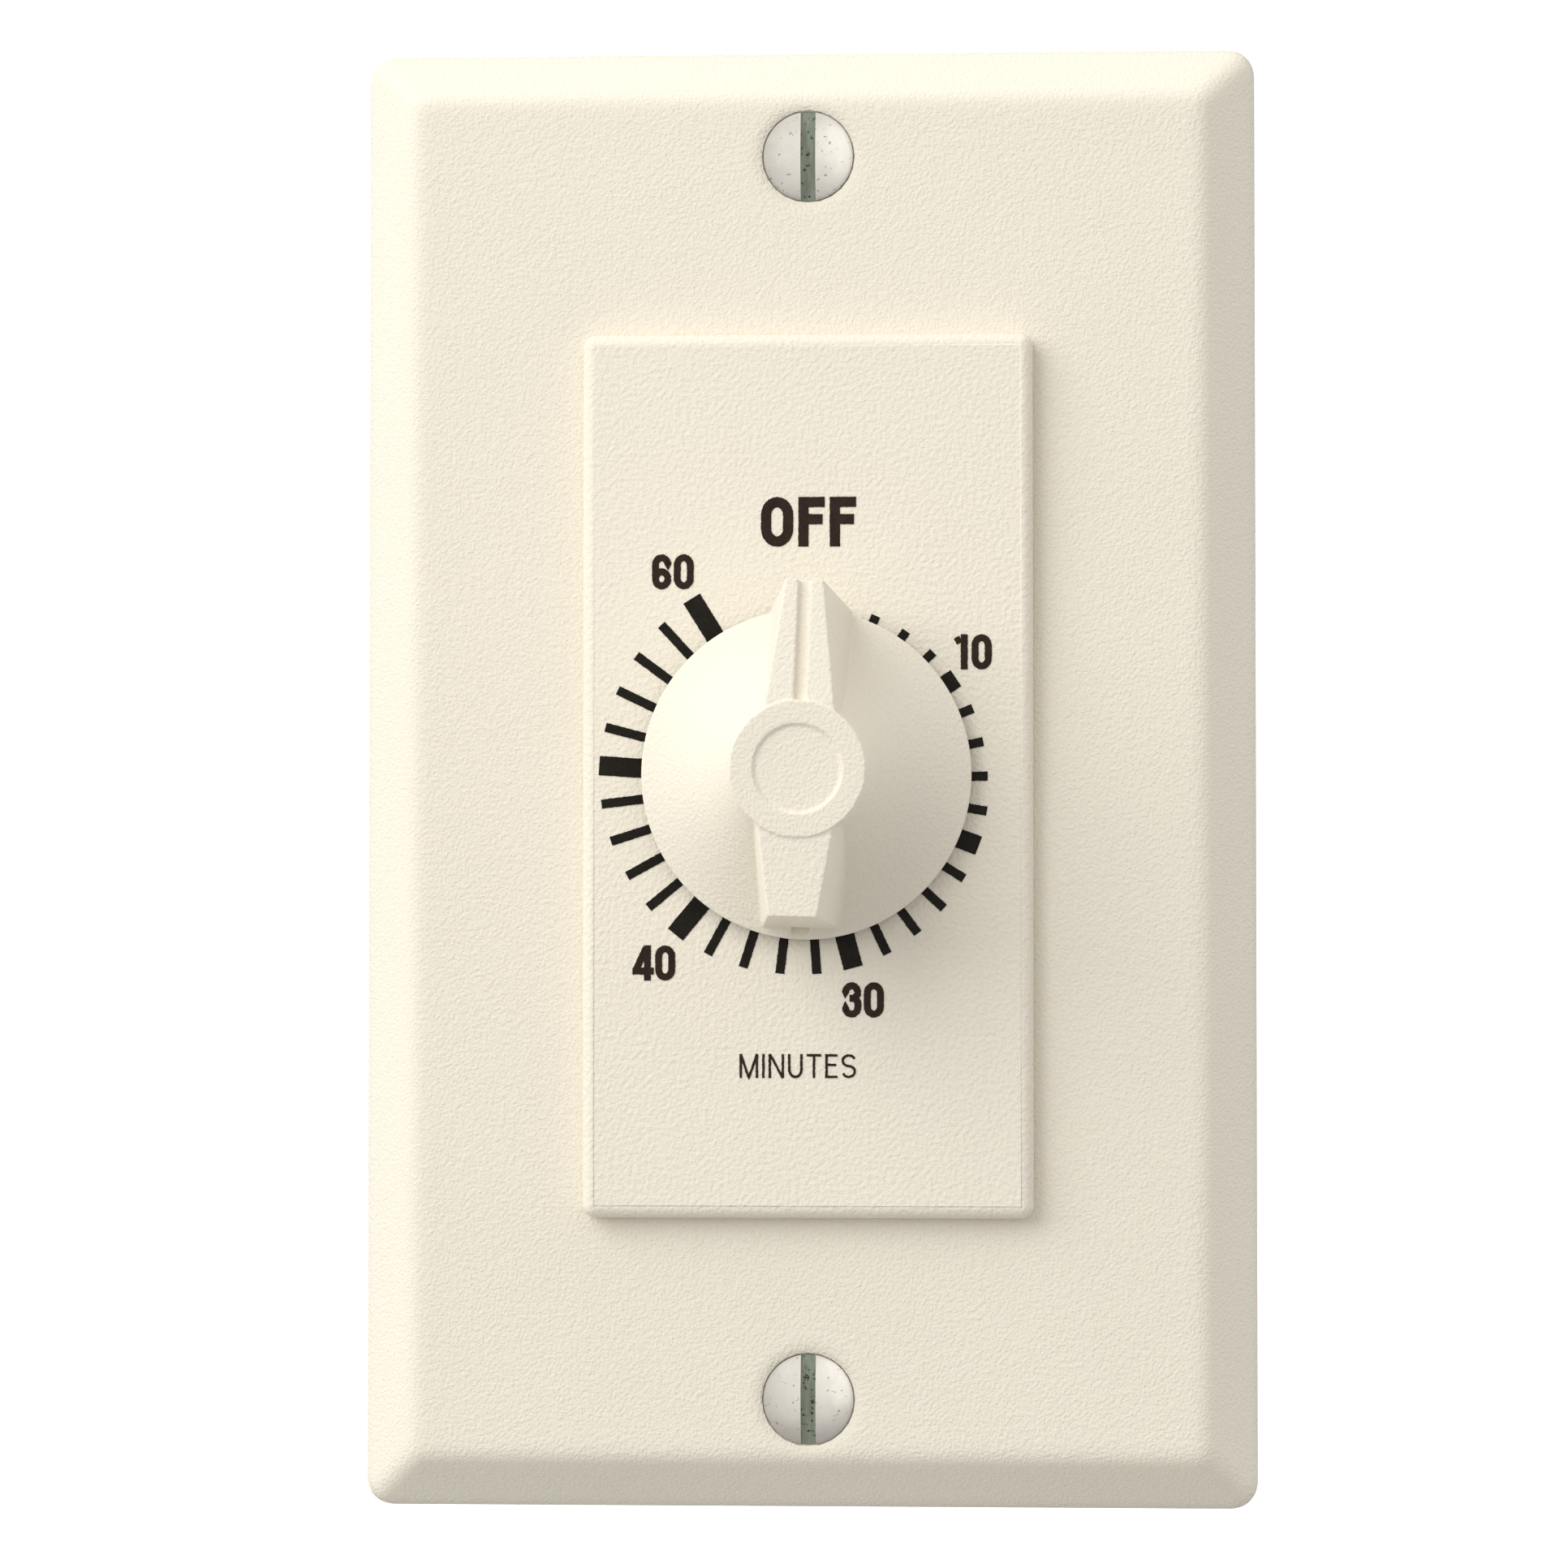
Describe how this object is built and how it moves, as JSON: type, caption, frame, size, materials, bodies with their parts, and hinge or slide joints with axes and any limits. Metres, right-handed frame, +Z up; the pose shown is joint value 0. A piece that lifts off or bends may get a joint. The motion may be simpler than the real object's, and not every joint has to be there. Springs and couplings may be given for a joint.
{
  "type": "timer light switch",
  "caption": "In-wall timer switch: bevelled plate, dial insert with printed minutes, pointer knob that winds clockwise and runs back to off, clockwork and contacts behind.",
  "frame": {"origin": "on the wall plane, behind the middle of the wall plate, on the knob's axis", "axes": "+Z up the plate's long side, the front faces -Y out of the wall, +X to the right seen from the room"},
  "size_m": [0.0698, 0.052, 0.1142],
  "materials": {
    "ivory_plastic": "satin",
    "zinc_screws": "satin",
    "zinc_steel": "satin",
    "turned_steel": "satin",
    "spring_steel": "satin",
    "brass": "satin",
    "fibre": "matte",
    "green_screw": "satin",
    "dark_moulding": "satin",
    "cream_moulding": "satin",
    "silver_contact": "satin"
  },
  "bodies": {
    "frame": {"wall_plate": "ivory_plastic", "plate_screws": "zinc_screws", "yoke": "zinc_steel", "box_screws": "zinc_screws", "screw_retainers": "fibre", "ground_screw": "green_screw", "dial_plate": "ivory_plastic", "shaft_bushing": "brass", "stop_pin": "turned_steel", "mainspring": "spring_steel", "spring_post": "turned_steel", "movement_case": "zinc_steel", "front_plate": "zinc_steel", "rear_plate": "zinc_steel", "pillars": "turned_steel", "pillar_screws": "zinc_screws", "insulator": "fibre", "switch_housing": "dark_moulding", "housing_screws": "zinc_screws", "line_terminal": "brass", "load_terminal": "brass", "terminal_screws": "zinc_screws", "moving_blade": "brass", "fixed_contact": "silver_contact"},
    "knob": {"knob": "ivory_plastic", "knob_clip": "spring_steel", "main_shaft": "turned_steel", "stop_disc": "turned_steel", "main_wheel": "brass", "clutch_spring": "spring_steel", "clutch_collar": "turned_steel", "switch_cam": "cream_moulding", "cam_ring": "spring_steel"},
    "second": {"second_pinion": "turned_steel", "second_wheel": "brass"},
    "third": {"third_pinion": "turned_steel", "third_wheel": "brass"},
    "escape": {"escape_pinion": "turned_steel", "escape_wheel": "brass"},
    "pallet": {"pallet_arbor": "turned_steel", "pallet_lever": "zinc_steel", "pallet_pins": "turned_steel", "balance_bar": "brass"}
  },
  "joints": [
    {"name": "knob_turn", "type": "hinge", "parent": "frame", "child": "knob", "pos_m": [0, 0, 0], "axis": [0, 1, 0], "range_deg": [0, 327.94], "stiffness_Nm_per_rad": 0.012, "springref_deg": -171.89, "deforming": ["mainspring", "moving_blade"]},
    {"name": "second_turn", "type": "hinge", "parent": "frame", "child": "second", "pos_m": [0.00696, 0, 0.01206], "axis": [0, 1, 0], "continuous": true},
    {"name": "third_turn", "type": "hinge", "parent": "frame", "child": "third", "pos_m": [-0.00177, 0, 0.0171], "axis": [0, 1, 0], "continuous": true},
    {"name": "escape_turn", "type": "hinge", "parent": "frame", "child": "escape", "pos_m": [-0.00945, 0, 0.01434], "axis": [0, 1, 0], "continuous": true},
    {"name": "pallet_swing", "type": "hinge", "parent": "frame", "child": "pallet", "pos_m": [-0.01551, 0, 0.0101], "axis": [0, 1, 0], "range_deg": [-5, 5]}
  ],
  "couplings": [
    {"joint": "second_turn", "follows": "knob_turn", "ratio": -5},
    {"joint": "third_turn", "follows": "knob_turn", "ratio": 25},
    {"joint": "escape_turn", "follows": "knob_turn", "ratio": -125}
  ]
}
